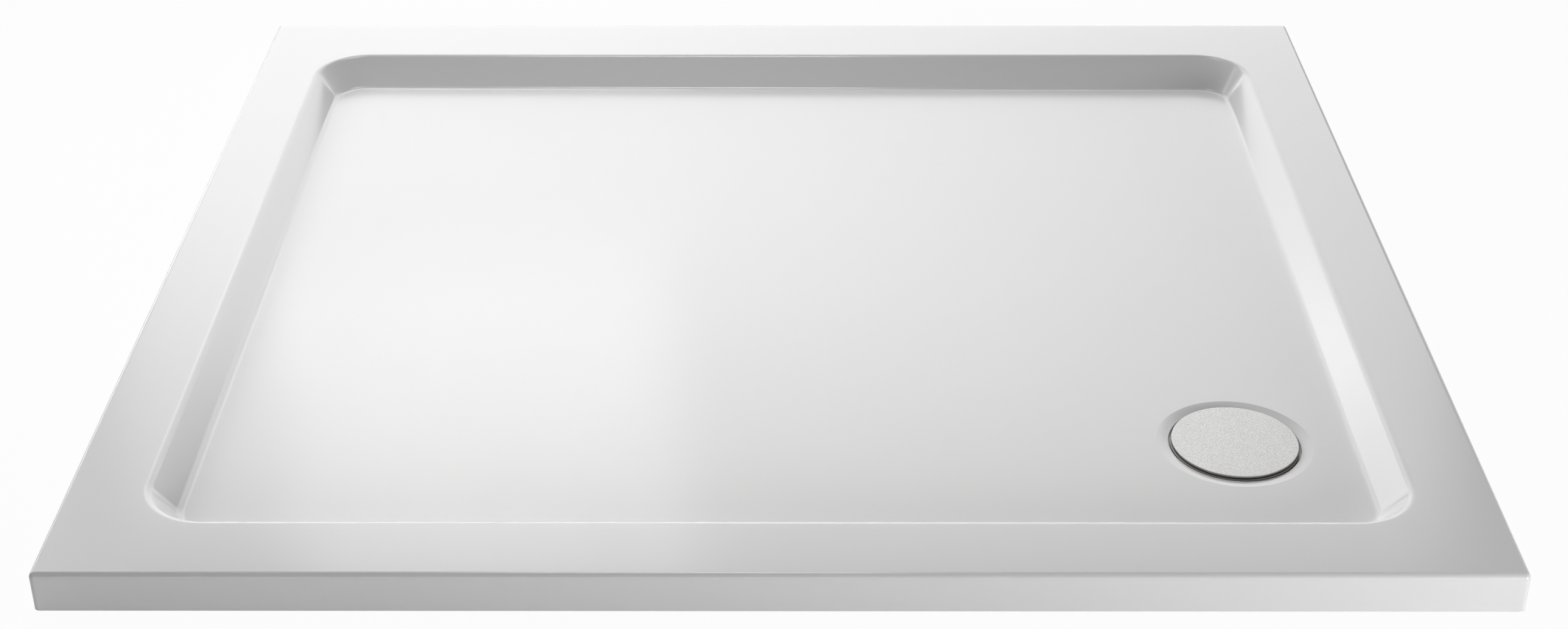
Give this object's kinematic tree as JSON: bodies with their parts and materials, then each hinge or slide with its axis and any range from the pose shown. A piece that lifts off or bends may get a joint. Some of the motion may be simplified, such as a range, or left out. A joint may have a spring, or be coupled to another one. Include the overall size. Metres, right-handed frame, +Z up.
{
  "type": "shower tray",
  "caption": "Low rectangular shower tray with a leaning-walled basin, a lift-out round waste cover in the front right corner, and a trap with a swivelling side outlet beneath.",
  "frame": {"origin": "middle of the tray's underside, the face that lies on the floor", "axes": "+X to the right and +Y to the back seen from the front edge, +Z up; the waste is at +X and -Y"},
  "size_m": [1.2, 1.1, 0.134],
  "materials": {
    "cap_white": "gloss white acrylic",
    "core_resin": "cast resin filled with stone",
    "cover_steel": "fine bead-blasted",
    "carrier_black": "moulded",
    "insert_grey": "moulded",
    "flange_taupe": "moulded",
    "seal_rubber": "matt",
    "screw_steel": "plain",
    "insert_brass": "turned",
    "trap_white": "moulded",
    "nut_grey": "moulded"
  },
  "bodies": {
    "tray": {"tray_skin": "cap_white", "tray_core": "core_resin", "waste_flange": "flange_taupe", "flange_washer": "seal_rubber", "tray_gasket": "seal_rubber", "flange_screws": "screw_steel", "screw_inserts": "insert_brass", "trap_body": "trap_white", "trap_bowl": "trap_white", "elbow_seal": "seal_rubber", "elbow_nut": "nut_grey"},
    "dip": {"dip_tube": "insert_grey", "dip_tube_oring": "seal_rubber"},
    "strainer": {"hair_strainer": "insert_grey"},
    "cover": {"waste_cover": "cover_steel", "cover_carrier": "carrier_black", "cover_pads": "seal_rubber"},
    "outlet": {"outlet_elbow": "trap_white", "outlet_seal": "seal_rubber", "slip_washer": "insert_grey", "outlet_nut": "nut_grey"}
  },
  "joints": [
    {"name": "dip_tube_lift", "type": "slide", "parent": "tray", "child": "dip", "axis": [0, 0, 1], "range_m": [0, 0.125]},
    {"name": "strainer_lift", "type": "slide", "parent": "dip", "child": "strainer", "axis": [0, 0, 1], "range_m": [0, 0.03]},
    {"name": "cover_lift", "type": "slide", "parent": "strainer", "child": "cover", "axis": [0, 0, 1], "range_m": [0, 0.045]},
    {"name": "elbow_swivel", "type": "hinge", "parent": "tray", "child": "outlet", "pos_m": [0.323, -0.314, -0.034], "axis": [-1, 0, 0], "range_deg": [0, 180]}
  ]
}
